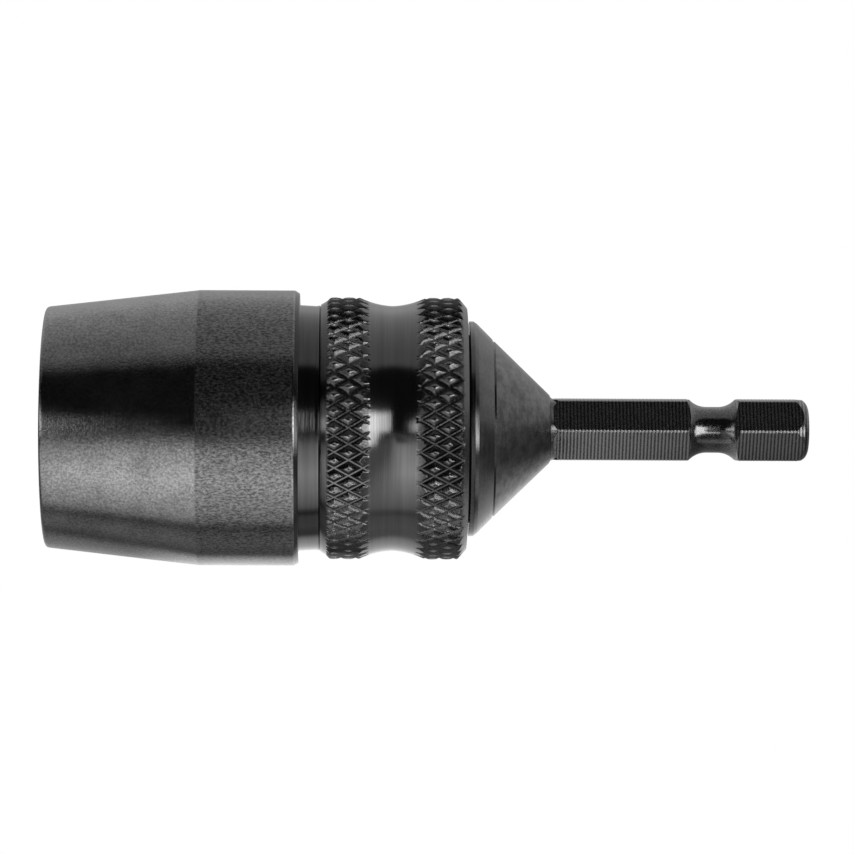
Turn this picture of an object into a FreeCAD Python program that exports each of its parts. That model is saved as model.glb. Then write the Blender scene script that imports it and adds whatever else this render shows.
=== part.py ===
"""Self-tightening keyless drill chuck with three jaws, for drills up to 6.5 mm, on a 1/4 inch hex shank.

The frame has the chuck's axis along X, the nose towards -X and the origin at the centre of the
hex shank's end face. Stations are measured along the axis from the nose face, so every piece is
drawn in stations and placed one overall length back along X. The jaws are fully open.
"""
import FreeCAD, Part
import math
import os

import Sketcher
from FreeCAD import Placement, Rotation, Vector

JAW_AZIMUTHS = (90.0, 210.0, 330.0)
BALL_COUNT = 16
# Longer than any piece is wide, so that a cutting solid always passes right through it.
CUTTER_REACH = 40.0
# Decimal places, in millimetres, kept in a size worked out from others.
ROUNDED = 6

SIZES = {
    "overall_length": 80.2,
    # Front sleeve: a slight cone from the nose face, then a cylinder that screws onto the hood.
    "nose_radius": 12.7,
    "nose_cone_end": 16.0,
    "sleeve_radius": 14.5,
    "sleeve_end": 26.5,
    "sleeve_chamfer": 0.5,
    "nose_round": 0.25,
    "lip_radius": 9.8,
    "lip_end": 1.2,
    "guide_seat_end": 12.6,
    "cavity_radius": 12.3,
    "cavity_end": 23.6,
    "sleeve_thread_end": 26.0,
    "sleeve_counterbore": 13.05,
    # Hood: the knurled ring that the hand turns, and its threaded spigot.
    "spigot_start": 23.8,
    "spigot_radius": 12.7,
    "neck_radius": 12.9,
    "neck_end": 28.65,
    "flare_end": 29.5,
    "flare_radius": 13.4,
    "knurl_start": 29.9,
    "knurl_radius": 13.8,
    "knurl_end": 43.3,
    "hood_end": 44.2,
    "hood_end_radius": 12.72,
    "waist_middle": 36.28,
    "waist_curve": 7.2,
    "waist_curve_centre": 20.06,
    "hood_front_bore": 11.75,
    "hood_step": 28.4,
    "hood_bore": 11.0,
    "hood_lip_start": 41.0,
    "hood_lip_bore": 8.05,
    # Spindle: the thread that drives the jaw screw, the bearing hub, and the front of the cone.
    "spindle_start": 27.6,
    "nut_thread_radius": 7.5,
    "hub_start": 36.0,
    "hub_radius": 8.0,
    "rim_start": 44.45,
    "rim_radius": 11.4,
    "rim_end": 44.8,
    "rim_round": 0.8,
    "seal_groove_end": 45.2,
    "seal_inner": 8.6,
    "seal_outer": 9.9,
    "seal_start": 44.25,
    "ring_groove_start": 30.2,
    "ring_groove_end": 31.2,
    "ring_inner": 7.0,
    "ring_outer": 8.6,
    "ring_turn": 330.0,
    "drive_bore": 5.05,
    "drive_thread_end": 35.5,
    "relief_radius": 5.2,
    # Shank: stud in the spindle, back of the cone, and the 1/4 inch hexagon with its power groove.
    "stud_start": 41.6,
    "stud_radius": 5.5,
    "seam": 47.0,
    "seam_width": 0.07,
    "seam_depth": 0.12,
    "cone_end": 53.0,
    "cone_end_radius": 3.47,
    "shank_neck_radius": 3.4,
    "hexagon_start": 53.35,
    "hex_across_flats": 6.35,
    "power_groove_middle": 69.95,
    "power_groove_half_flat": 0.6,
    "power_groove_radius": 2.35,
    "power_groove_curve": 2.5,
    "shank_cone_start": 78.8,
    "shank_round_start": 79.65,
    "shank_round_radius": 3.15,
    "shank_edge_start": 80.02,
    "shank_edge_radius": 2.85,
    "shank_end_radius": 2.4,
    "beyond_corners": 4.6,
    # Cross pin that locks the shank's stud in the spindle.
    "cross_pin_middle": 43.2,
    "cross_pin_radius": 0.8,
    "cross_pin_length": 15.7,
    # Thrust bearing: two grooved races, a brass cage and sixteen balls, kept by a locked nut.
    "nut_start": 31.6,
    "nut_outer": 10.6,
    "lock_screw_middle": 33.8,
    "lock_screw_radius": 1.25,
    "lock_screw_length": 2.9,
    "lock_socket_corner": 0.75,
    "lock_socket_depth": 1.1,
    "front_race_end": 37.5,
    "front_race_outer": 10.9,
    "ball_middle": 38.45,
    "ball_circle": 9.5,
    "ball_radius": 1.2,
    "race_curve": 1.23,
    "rear_race_start": 39.4,
    "rear_race_inner": 8.3,
    "cage_start": 37.95,
    "cage_end": 38.95,
    "cage_inner": 8.15,
    "cage_outer": 10.85,
    "cage_hole": 1.22,
    # Jaw guide, keyed in the sleeve by three pins.
    "guide_start": 0.35,
    "guide_hub_radius": 9.75,
    "guide_radius": 11.0,
    "guide_end": 12.4,
    "guide_bore": 3.9,
    "guide_mouth": 6.5,
    "guide_mouth_end": 2.0,
    "guide_jaw_bore": 2.78,
    "key_pin_radius": 0.75,
    "key_pin_length": 4.0,
    # Jaws: round bars that slope in towards the nose, each with a tee that hangs in the screw's head.
    "jaw_slope": 15.0,
    "jaw_envelope": 16.0,
    "jaw_radius": 2.75,
    "jaw_tip": 1.5,
    "jaw_bar_end": 22.0,
    "grip_radius": 3.25,
    "grip_end": 11.5,
    "flank_apex": 2.4615,
    "flank_angle": 60.0,
    "tee_inner": 6.6,
    "tee_outer": 11.2,
    "tee_neck_end": 23.7,
    "tee_neck_width": 3.0,
    "tee_end": 25.3,
    "tee_width": 4.8,
    # Jaw screw: tee-slotted head and a threaded stem, drawn at its outer diameter.
    "head_start": 22.1,
    "head_end": 27.0,
    "head_radius": 11.3,
    "slot_inner": 3.8,
    "slot_neck_end": 23.65,
    "slot_neck_width": 3.1,
    "slot_end": 25.35,
    "slot_width": 4.9,
    "stem_radius": 5.0,
    "stem_end": 41.0,
    "stem_undercut": 4.4,
    "stem_undercut_end": 28.4,
    "stem_chamfer": 0.5,
}


def derive_sizes():
    """Adds the sizes that follow from the ones above."""
    run = SIZES["cone_end"] - SIZES["rim_end"]
    drop = SIZES["rim_radius"] - SIZES["cone_end_radius"]
    SIZES["seam_radius"] = SIZES["rim_radius"] - drop * (SIZES["seam"] - SIZES["rim_end"]) / run
    SIZES["hex_corner_radius"] = SIZES["hex_across_flats"] / math.sqrt(3.0)
    slope = math.radians(SIZES["jaw_slope"])
    touch = SIZES["jaw_radius"] / math.cos(slope) - SIZES["grip_end"] * math.tan(slope)
    SIZES["jaw_axis_at_nose"] = SIZES["grip_radius"] + touch
    for alias, value in SIZES.items():
        SIZES[alias] = round(value, ROUNDED)


def make_sheet():
    """The spreadsheet that drives the model, one size to a row."""
    table = doc.addObject("Spreadsheet::Sheet", "Sizes")
    for row, (alias, value) in enumerate(SIZES.items(), start=1):
        table.set(f"A{row}", alias)
        table.set(f"B{row}", str(value))
        table.setAlias(f"B{row}", alias)
    doc.recompute()
    return table


def number(formula):
    """The value of a sum of sizes, such as 'seam - seam_width'."""
    total = 0.0
    sign = 1.0
    for word in formula.split():
        if word in ("+", "-"):
            sign = 1.0 if word == "+" else -1.0
        elif word != "0":
            total += sign * getattr(sheet, word)
    return total


def bound(formula):
    """The same sum written as an expression on the spreadsheet."""
    return " ".join(word if word in ("+", "-", "0") else "Sizes." + word for word in formula.split())


def bind(target, path, formula):
    """Binds one property or constraint to a sum of sizes."""
    target.setExpression(path, bound(formula))


def origin_feature(body, role):
    """A body's own origin plane or axis."""
    return next(item for item in body.Origin.OriginFeatures if item.Role == role)


def new_body(label):
    """A body drawn in stations and placed so that the shank's end is at the origin."""
    body = doc.addObject("PartDesign::Body", label)
    body.Label = label
    bind(body, ".Placement.Base.x", "0 - overall_length")
    return body


def new_sketch(body, role, name, station=None):
    """A sketch on one of the body's own planes, moved along that plane's normal to a station."""
    sketch = body.newObject("Sketcher::SketchObject", name)
    sketch.AttachmentSupport = (origin_feature(body, role), "")
    sketch.MapMode = "FlatFace"
    if station is not None:
        bind(sketch, ".AttachmentOffset.Base.z", station)
    return sketch


def pin_point(sketch, geometry, point, across, up):
    """Fixes a sketch point from the sketch's origin; a leading minus puts it on the negative side."""
    for formula, kind, axis in ((across, "DistanceX", -2), (up, "DistanceY", -1)):
        if formula == "0":
            sketch.addConstraint(Sketcher.Constraint("PointOnObject", geometry, point, axis))
            continue
        negative = formula.startswith("- ")
        size = formula[2:] if negative else formula
        ends = (geometry, point, -1, 1) if negative else (-1, 1, geometry, point)
        index = sketch.addConstraint(Sketcher.Constraint(kind, *ends, number(size)))
        bind(sketch, f"Constraints[{index}]", size)


def close_loop(sketch, first, count):
    """Joins a run of sketch edges end to end into a closed loop."""
    for step in range(count):
        following = first + (step + 1) % count
        sketch.addConstraint(Sketcher.Constraint("Coincident", first + step, 2, following, 1))


def add_outline(sketch, corners):
    """A closed outline through corners given as (across, up) sums of sizes."""
    points = [Vector(number(across), number(up), 0) for across, up in corners]
    first = sketch.GeometryCount
    for here, there in zip(points, points[1:] + points[:1]):
        sketch.addGeometry(Part.LineSegment(here, there), False)
    close_loop(sketch, first, len(points))
    for step, (across, up) in enumerate(corners):
        pin_point(sketch, first + step, 1, across, up)


def add_circle(sketch, across, up, radius):
    """A circle whose centre and radius are bound to sizes."""
    side = [-1.0 if formula.startswith("- ") else 1.0 for formula in (across, up)]
    middle = [number(formula.removeprefix("- ")) * sign for formula, sign in zip((across, up), side)]
    circle = Part.Circle(Vector(*middle, 0), Vector(0, 0, 1), number(radius))
    index = sketch.addGeometry(circle, False)
    pin_point(sketch, index, 3, across, up)
    size = sketch.addConstraint(Sketcher.Constraint("Radius", index, number(radius)))
    bind(sketch, f"Constraints[{size}]", radius)


def volume_of(body):
    """The body's present volume, or nothing before its first feature."""
    doc.recompute()
    return body.Shape.Volume if not body.Shape.isNull() else 0.0


def check_change(body, before, adds):
    """Stops when a feature added or cut nothing."""
    after = volume_of(body)
    gained = after - before if adds else before - after
    if gained <= 0.0:
        raise RuntimeError(f"{body.Label}: {body.Tip.Label} changed nothing")


def revolve(body, name, corners, adds=True):
    """Adds or cuts a shape turned about the chuck's axis from its half outline."""
    before = volume_of(body)
    sketch = new_sketch(body, "XY_Plane", name + "_outline")
    add_outline(sketch, corners)
    turn_profile(body, name, sketch, adds)
    check_change(body, before, adds)
    return body.Tip


def turn_profile(body, name, sketch, adds):
    """A full turn of a sketch about the chuck's axis."""
    kind = "PartDesign::Revolution" if adds else "PartDesign::Groove"
    feature = body.newObject(kind, name)
    feature.Profile = sketch
    feature.ReferenceAxis = (sketch, ["H_Axis"])
    feature.Angle = 360.0
    sketch.Visibility = False
    return feature


def turned(label, corners):
    """A body turned about the chuck's axis."""
    body = new_body(label)
    revolve(body, label + "_turned", corners)
    return body


def ring_groove(body, name, station, centre, radius):
    """Cuts a groove of round section about the chuck's axis."""
    before = volume_of(body)
    sketch = new_sketch(body, "XY_Plane", name + "_circle")
    add_circle(sketch, station, centre, radius)
    turn_profile(body, name, sketch, False)
    check_change(body, before, False)


def circle_edges(body, station, radius):
    """Names of the body's round edges at one station and radius."""
    doc.recompute()
    names = []
    for index, edge in enumerate(body.Tip.Shape.Edges, start=1):
        curve = edge.Curve
        if not isinstance(curve, Part.Circle):
            continue
        here = math.isclose(curve.Center.x, number(station), abs_tol=1e-4)
        if here and math.isclose(curve.Radius, number(radius), abs_tol=1e-4):
            names.append(f"Edge{index}")
    return names


def ease(body, kind, name, station, radius, size):
    """Rounds or chamfers the round edge at one station and radius."""
    names = circle_edges(body, station, radius)
    before = volume_of(body)
    base = body.Tip
    feature = body.newObject(f"PartDesign::{kind}", name)
    feature.Base = (base, names)
    bind(feature, "Radius" if kind == "Fillet" else "Size", size)
    check_change(body, before, False)


def pocket(body, name, sketch, depth=None, both_ways=False, forward=False):
    """Cuts a sketch out of the body, to a depth or right through."""
    before = volume_of(body)
    feature = body.newObject("PartDesign::Pocket", name)
    feature.Profile = sketch
    feature.Type = "Length" if depth else "ThroughAll"
    if depth:
        bind(feature, "Length", depth)
    feature.Midplane = both_ways
    feature.Reversed = forward
    sketch.Visibility = False
    check_change(body, before, False)
    return feature


def repeat_about_axis(body, name, feature, count):
    """Repeats a feature evenly about the chuck's axis."""
    before = volume_of(body)
    pattern = body.newObject("PartDesign::PolarPattern", name)
    pattern.Originals = [feature]
    pattern.Axis = (origin_feature(body, "X_Axis"), [""])
    pattern.Angle = 360.0
    pattern.Occurrences = count
    body.Tip = pattern
    check_change(body, before, False)


def key_pin_holes(body, station):
    """Half holes for the three key pins, drilled forward from one station."""
    sketch = new_sketch(body, "YZ_Plane", body.Label + "_key_circle", station)
    add_circle(sketch, "0", "- guide_radius", "key_pin_radius")
    depth = f"{station} - guide_end + key_pin_length"
    hole = pocket(body, body.Label + "_key_hole", sketch, depth)
    repeat_about_axis(body, body.Label + "_key_holes", hole, len(JAW_AZIMUTHS))


def make_front_sleeve():
    """Smooth front sleeve with the seat for the jaw guide."""
    body = turned("front_sleeve", [
        ("0", "lip_radius"), ("0", "nose_radius"),
        ("nose_cone_end", "sleeve_radius"), ("sleeve_end", "sleeve_radius"),
        ("sleeve_end", "sleeve_counterbore"), ("sleeve_thread_end", "sleeve_counterbore"),
        ("sleeve_thread_end", "spigot_radius"), ("cavity_end", "spigot_radius"),
        ("cavity_end", "cavity_radius"), ("guide_seat_end", "cavity_radius"),
        ("guide_seat_end", "guide_radius"), ("lip_end", "guide_radius"),
        ("lip_end", "lip_radius"),
    ])
    ease(body, "Fillet", "nose_rounding", "0", "nose_radius", "nose_round")
    ease(body, "Fillet", "lip_rounding", "0", "lip_radius", "nose_round")
    ease(body, "Chamfer", "sleeve_back_edge", "sleeve_end", "sleeve_radius", "sleeve_chamfer")
    key_pin_holes(body, "guide_seat_end")
    return body


def make_hood():
    """Ring that the hand turns: two lands for the knurl with a hollow waist between them."""
    body = turned("knurled_hood", [
        ("spigot_start", "hood_front_bore"), ("spigot_start", "spigot_radius"),
        ("sleeve_thread_end", "spigot_radius"), ("sleeve_thread_end", "neck_radius"),
        ("neck_end", "neck_radius"), ("flare_end", "flare_radius"),
        ("knurl_start", "knurl_radius"), ("knurl_end", "knurl_radius"),
        ("hood_end", "hood_end_radius"), ("hood_end", "hood_lip_bore"),
        ("hood_lip_start", "hood_lip_bore"), ("hood_lip_start", "hood_bore"),
        ("hood_step", "hood_bore"), ("hood_step", "hood_front_bore"),
    ])
    ring_groove(body, "waist", "waist_middle", "waist_curve_centre", "waist_curve")
    return body


def make_spindle():
    """Spindle with the bore of the drive thread inside, and the nut's thread and bearing hub outside."""
    body = turned("spindle", [
        ("spindle_start", "drive_bore"), ("spindle_start", "nut_thread_radius"),
        ("ring_groove_start", "nut_thread_radius"), ("ring_groove_start", "ring_inner"),
        ("ring_groove_end", "ring_inner"), ("ring_groove_end", "nut_thread_radius"),
        ("hub_start", "nut_thread_radius"), ("hub_start", "hub_radius"),
        ("rim_start", "hub_radius"), ("rim_start", "seal_inner"),
        ("seal_groove_end", "seal_inner"), ("seal_groove_end", "seal_outer"),
        ("rim_start", "seal_outer"), ("rim_start", "rim_radius"),
        ("rim_end", "rim_radius"), ("seam - seam_width", "seam_radius + seam_width"),
        ("seam - seam_width", "seam_radius - seam_depth"), ("seam", "seam_radius - seam_depth"),
        ("seam", "stud_radius"), ("stud_start", "stud_radius"),
        ("stud_start", "relief_radius"), ("drive_thread_end", "relief_radius"),
        ("drive_thread_end", "drive_bore"),
    ])
    ease(body, "Fillet", "rim_rounding", "rim_end", "rim_radius", "rim_round")
    cross_pin_hole(body)
    return body


def cross_pin_hole(body):
    """Hole for the pin that locks the shank's stud, drilled right across."""
    sketch = new_sketch(body, "XY_Plane", body.Label + "_pin_circle")
    add_circle(sketch, "cross_pin_middle", "0", "cross_pin_radius")
    pocket(body, body.Label + "_pin_hole", sketch, both_ways=True)


def make_hex_shank():
    """Shank: stud, back of the cone, short round neck and the hexagon."""
    body = turned("hex_shank", [
        ("stud_start", "0"), ("stud_start", "stud_radius"), ("seam", "stud_radius"),
        ("seam", "seam_radius - seam_depth"), ("seam + seam_width", "seam_radius - seam_depth"),
        ("seam + seam_width", "seam_radius - seam_width"), ("cone_end", "cone_end_radius"),
        ("cone_end", "shank_neck_radius"), ("hexagon_start", "shank_neck_radius"),
        ("hexagon_start", "0"),
    ])
    cross_pin_hole(body)
    pad_hexagon(body)
    cut_power_groove(body)
    revolve(body, "shank_end_edge", [
        ("shank_cone_start", "hex_corner_radius"), ("shank_round_start", "shank_round_radius"),
        ("shank_edge_start", "shank_edge_radius"), ("overall_length", "shank_end_radius"),
        ("overall_length", "beyond_corners"), ("shank_cone_start", "beyond_corners"),
    ], adds=False)
    return body


def pad_hexagon(body):
    """The hexagonal bar, with one corner towards -Y and one towards +Y."""
    before = volume_of(body)
    sketch = new_sketch(body, "YZ_Plane", "hexagon", "hexagon_start")
    corner = number("hex_corner_radius")
    turns = [math.radians(60.0 * step) for step in range(6)]
    points = [Vector(corner * math.cos(turn), corner * math.sin(turn), 0) for turn in turns]
    for here, there in zip(points, points[1:] + points[:1]):
        sketch.addGeometry(Part.LineSegment(here, there), False)
    close_loop(sketch, 0, 6)
    ring = sketch.addGeometry(Part.Circle(Vector(0, 0, 0), Vector(0, 0, 1), corner), True)
    sketch.addConstraint(Sketcher.Constraint("Coincident", ring, 3, -1, 1))
    size = sketch.addConstraint(Sketcher.Constraint("Radius", ring, corner))
    bind(sketch, f"Constraints[{size}]", "hex_corner_radius")
    for side in range(6):
        sketch.addConstraint(Sketcher.Constraint("PointOnObject", side, 1, ring))
    for side in range(1, 6):
        sketch.addConstraint(Sketcher.Constraint("Equal", 0, side))
    sketch.addConstraint(Sketcher.Constraint("PointOnObject", 0, 1, -1))
    bar = body.newObject("PartDesign::Pad", "hexagon_bar")
    bar.Profile = sketch
    bind(bar, "Length", "overall_length - hexagon_start")
    sketch.Visibility = False
    check_change(body, before, True)


def cut_power_groove(body):
    """The quick-release groove round the hexagon: a narrow flat between two hollow curves."""
    for side, sign in (("front", "-"), ("back", "+")):
        station = f"power_groove_middle {sign} power_groove_half_flat"
        centre = "power_groove_radius + power_groove_curve"
        ring_groove(body, f"power_groove_{side}", station, centre, "power_groove_curve")
    start = "power_groove_middle - power_groove_half_flat"
    end = "power_groove_middle + power_groove_half_flat"
    revolve(body, "power_groove_flat", [
        (start, "power_groove_radius"), (end, "power_groove_radius"),
        (end, "beyond_corners"), (start, "beyond_corners"),
    ], adds=False)


def make_turned_rings():
    """Seal, thrust nut, retaining ring, races and cage."""
    seal = turned("dust_seal", [
        ("seal_start", "seal_inner"), ("seal_start", "seal_outer"),
        ("seal_groove_end", "seal_outer"), ("seal_groove_end", "seal_inner"),
    ])
    ring = turned("retaining_ring", [
        ("ring_groove_start", "ring_inner"), ("ring_groove_start", "ring_outer"),
        ("ring_groove_end", "ring_outer"), ("ring_groove_end", "ring_inner"),
    ])
    bind(ring.Tip, "Angle", "ring_turn")
    nut = turned("thrust_nut", [
        ("nut_start", "nut_thread_radius"), ("nut_start", "nut_outer"),
        ("hub_start", "nut_outer"), ("hub_start", "nut_thread_radius"),
    ])
    sketch = new_sketch(nut, "XY_Plane", "lock_screw_circle")
    add_circle(sketch, "lock_screw_middle", "0", "lock_screw_radius")
    pocket(nut, "lock_screw_hole", sketch, forward=True)
    front = turned("front_race", [
        ("hub_start", "hub_radius"), ("hub_start", "front_race_outer"),
        ("front_race_end", "front_race_outer"), ("front_race_end", "hub_radius"),
    ])
    ring_groove(front, "front_ball_groove", "ball_middle", "ball_circle", "race_curve")
    rear = turned("rear_race", [
        ("rear_race_start", "rear_race_inner"), ("rear_race_start", "hood_bore"),
        ("hood_lip_start", "hood_bore"), ("hood_lip_start", "rear_race_inner"),
    ])
    ring_groove(rear, "rear_ball_groove", "ball_middle", "ball_circle", "race_curve")
    return [seal, ring, nut, front, rear]


def make_cage(ball_count):
    """Flat ring with one round window to each ball."""
    body = turned("ball_cage", [
        ("cage_start", "cage_inner"), ("cage_start", "cage_outer"),
        ("cage_end", "cage_outer"), ("cage_end", "cage_inner"),
    ])
    sketch = new_sketch(body, "YZ_Plane", "cage_circle", "cage_end")
    add_circle(sketch, "ball_circle", "0", "cage_hole")
    hole = pocket(body, "cage_window", sketch)
    repeat_about_axis(body, "cage_windows", hole, ball_count)
    return body


def make_guide():
    """Jaw guide: a short drum with three sloping bores that meet at the nose."""
    body = turned("jaw_guide", [
        ("guide_start", "guide_mouth"), ("guide_start", "guide_hub_radius"),
        ("lip_end", "guide_hub_radius"), ("lip_end", "guide_radius"),
        ("guide_end", "guide_radius"), ("guide_end", "guide_bore"),
        ("guide_mouth_end", "guide_bore"),
    ])
    before = volume_of(body)
    bore = body.newObject("PartDesign::SubtractiveCylinder", "jaw_bore")
    bore.AttachmentSupport = (origin_feature(body, "YZ_Plane"), "")
    bore.MapMode = "FlatFace"
    slope = math.radians(number("jaw_slope"))
    back = number("head_radius")
    start = Vector(0, number("jaw_axis_at_nose") - back * math.tan(slope), -back)
    bore.AttachmentOffset = Placement(start, Rotation(Vector(1, 0, 0), -number("jaw_slope")))
    bind(bore, "Radius", "guide_jaw_bore")
    bore.Height = CUTTER_REACH
    check_change(body, before, False)
    repeat_about_axis(body, "jaw_bores", bore, len(JAW_AZIMUTHS))
    key_pin_holes(body, "guide_end")
    return body


def make_jaw_screw():
    """Jaw screw: head with three radial tee slots, and a stem for the drive thread."""
    body = turned("jaw_screw", [
        ("head_start", "0"), ("head_start", "head_radius"), ("head_end", "head_radius"),
        ("head_end", "stem_undercut"), ("stem_undercut_end", "stem_undercut"),
        ("stem_undercut_end", "stem_radius"), ("stem_end", "stem_radius"), ("stem_end", "0"),
    ])
    for name, width, start, end in (
        ("tee_neck", "slot_neck_width", "head_start", "slot_neck_end"),
        ("tee_slot", "slot_width", "slot_neck_end", "slot_end"),
    ):
        sketch = new_sketch(body, "YZ_Plane", name + "_shape", end)
        add_slot(sketch, width)
        slot = pocket(body, name, sketch, f"{end} - {start}")
        repeat_about_axis(body, name + "s", slot, len(JAW_AZIMUTHS))
    ease(body, "Chamfer", "stem_end_edge", "stem_end", "stem_radius", "stem_chamfer")
    return body


def add_slot(sketch, width):
    """A straight slot from the inner radius out past the head, as wide as given."""
    half = number(width) / 2.0
    low, high = number("slot_inner"), number("head_radius") + number("lip_end")
    points = [Vector(-half, low, 0), Vector(half, low, 0), Vector(half, high, 0), Vector(-half, high, 0)]
    for here, there in zip(points, points[1:] + points[:1]):
        sketch.addGeometry(Part.LineSegment(here, there), False)
    close_loop(sketch, 0, 4)
    sketch.addConstraint(Sketcher.Constraint("Vertical", 1))
    sketch.addConstraint(Sketcher.Constraint("Symmetric", 0, 1, 0, 2, -2))
    sketch.addConstraint(Sketcher.Constraint("Symmetric", 2, 2, 2, 1, -2))
    for kind, ends, size in (
        ("DistanceX", (0, 1, 0, 2), width),
        ("DistanceY", (-1, 1, 0, 1), "slot_inner"),
        ("DistanceY", (-1, 1, 2, 1), "head_radius + lip_end"),
    ):
        index = sketch.addConstraint(Sketcher.Constraint(kind, *ends, number(size)))
        bind(sketch, f"Constraints[{index}]", size)


def primitive(kind, name, sizes):
    """A Part primitive with its sizes bound to the spreadsheet."""
    item = doc.addObject(f"Part::{kind}", name)
    for path, formula in sizes.items():
        bind(item, path, formula)
    return item


def combine(kind, name, base, tool):
    """A Part boolean of two shapes: Cut, Common or Fuse."""
    item = doc.addObject(f"Part::{kind}", name)
    item.Base = base
    item.Tool = tool
    return item


def finish_assembly(item, label, azimuth=0.0):
    """Names a piece drawn in stations, turns it about the axis and puts it in the part's frame."""
    item.Label = label
    item.Placement = Placement(Vector(0, 0, 0), Rotation(Vector(1, 0, 0), azimuth))
    bind(item, ".Placement.Base.x", "0 - overall_length")
    return item


def block(name, start, end, width, low, high):
    """A block between two stations, centred across, between two heights above the axis."""
    item = primitive("Box", name, {
        "Length": f"{end} - {start}", "Width": width, "Height": f"{high} - {low}",
        ".Placement.Base.x": start, ".Placement.Base.z": low,
    })
    item.setExpression(".Placement.Base.y", f"-Sizes.{width} / 2")
    return item


def flank_block(name, side):
    """Everything on the jaw's side of one flank, whose plane passes through the flanks' apex."""
    item = doc.addObject("Part::Box", name)
    item.Length = item.Width = item.Height = CUTTER_REACH
    tilt = Rotation(Vector(1, 0, 0), -side * number("flank_angle"))
    across = -CUTTER_REACH if side > 0 else 0.0
    corner = tilt.multVec(Vector(0, across, -CUTTER_REACH / 2.0))
    item.Placement = Placement(corner + Vector(0, 0, number("flank_apex")), tilt)
    return item


def make_jaw(index, azimuth):
    """One jaw: a sloping bar with a hollow gripping land, two flanks and a tee at its back."""
    name = f"jaw_{index}"
    slope = math.radians(number("jaw_slope"))
    bar = primitive("Cylinder", name + "_bar", {"Radius": "jaw_radius"})
    bar.Height = CUTTER_REACH
    back = number("guide_bore")
    start = Vector(-back, 0, number("jaw_axis_at_nose") - back * math.tan(slope))
    bar.Placement = Placement(start, Rotation(Vector(0, 1, 0), 90.0 - number("jaw_slope")))
    ends = block(name + "_ends", "jaw_tip", "jaw_bar_end", "jaw_envelope", "0", "jaw_envelope")
    blank = combine("Common", name + "_blank", bar, ends)
    for side in (1, -1):
        flank = flank_block(f"{name}_flank_{'left' if side > 0 else 'right'}", side)
        blank = combine("Common", blank.Name + "_flanked", blank, flank)
    land = primitive("Cylinder", name + "_land", {"Radius": "grip_radius", "Height": "guide_end"})
    land.Placement.Rotation = Rotation(Vector(0, 1, 0), 90.0)
    blank = combine("Cut", name + "_gripping", blank, land)
    neck = block(
        name + "_tee_neck", "jaw_bar_end", "tee_neck_end", "tee_neck_width", "tee_inner", "tee_outer")
    tee = block(name + "_tee", "tee_neck_end", "tee_end", "tee_width", "tee_inner", "tee_outer")
    blank = combine("Fuse", name + "_with_neck", blank, neck)
    return finish_assembly(combine("Fuse", name, blank, tee), name, azimuth - JAW_AZIMUTHS[0])


def around(item, radius, azimuth):
    """Puts a primitive at a radius and azimuth about the axis; azimuth 90 is straight up."""
    item.setExpression(".Placement.Base.y", f"Sizes.{radius} * cos({azimuth} deg)")
    item.setExpression(".Placement.Base.z", f"Sizes.{radius} * sin({azimuth} deg)")


def make_balls(count):
    """The bearing's balls, one solid each."""
    balls = []
    for index in range(count):
        ball = primitive("Sphere", f"ball_{index + 1}", {
            "Radius": "ball_radius", ".Placement.Base.x": "ball_middle",
        })
        around(ball, "ball_circle", 360.0 * index / count)
        balls.append(ball)
    group = doc.addObject("Part::Compound", "bearing_balls")
    group.Links = balls
    return finish_assembly(group, "bearing_balls")


def make_key_pins():
    """Three pins, half in the guide and half in the sleeve, between the jaws."""
    pins = []
    for index, azimuth in enumerate(JAW_AZIMUTHS, start=1):
        pin = primitive("Cylinder", f"key_pin_{index}", {
            "Radius": "key_pin_radius", "Height": "key_pin_length",
        })
        pin.Placement.Rotation = Rotation(Vector(0, 1, 0), 90.0)
        bind(pin, ".Placement.Base.x", "guide_end - key_pin_length")
        around(pin, "guide_radius", azimuth + 180.0)
        pins.append(pin)
    group = doc.addObject("Part::Compound", "guide_key_pins")
    group.Links = pins
    return finish_assembly(group, "guide_key_pins")


def make_cross_pin():
    """Straight pin across the spindle's hub and the shank's stud."""
    pin = primitive("Cylinder", "shank_cross_pin", {
        "Radius": "cross_pin_radius", "Height": "cross_pin_length",
        ".Placement.Base.x": "cross_pin_middle - overall_length",
    })
    pin.setExpression(".Placement.Base.z", "-Sizes.cross_pin_length / 2")
    pin.Label = "shank_cross_pin"
    return pin


def make_lock_screw():
    """Headless screw with a hexagon socket that locks the thrust nut."""
    place = {".Placement.Base.x": "lock_screw_middle"}
    body = primitive("Cylinder", "lock_screw_blank", {
        "Radius": "lock_screw_radius", "Height": "lock_screw_length",
        ".Placement.Base.z": "nut_thread_radius", **place,
    })
    socket = primitive("Prism", "lock_screw_socket", {
        "Circumradius": "lock_socket_corner", "Height": "lock_socket_depth",
        ".Placement.Base.z": "nut_thread_radius + lock_screw_length - lock_socket_depth", **place,
    })
    return finish_assembly(combine("Cut", "nut_lock_screw", body, socket), "nut_lock_screw")


def check_document():
    """Stops if any object of the document failed to compute."""
    doc.recompute()
    for item in doc.Objects:
        if "Invalid" in item.State or "Error" in item.State:
            raise RuntimeError(f"{item.Label} did not compute: {item.State}")


def export(pieces):
    """Writes each piece's shape to a STEP file named after it."""
    for piece in pieces:
        if piece.Shape.isNull() or not piece.Shape.isValid():
            raise RuntimeError(f"{piece.Label} has no valid shape")
    os.makedirs("parts", exist_ok=True)
    for piece in pieces:
        piece.Shape.exportStep(f"parts/{piece.Label}.step")
        print(f"{piece.Label}: {len(piece.Shape.Solids)} solids, {piece.Shape.Volume:.1f} mm3")


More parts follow.
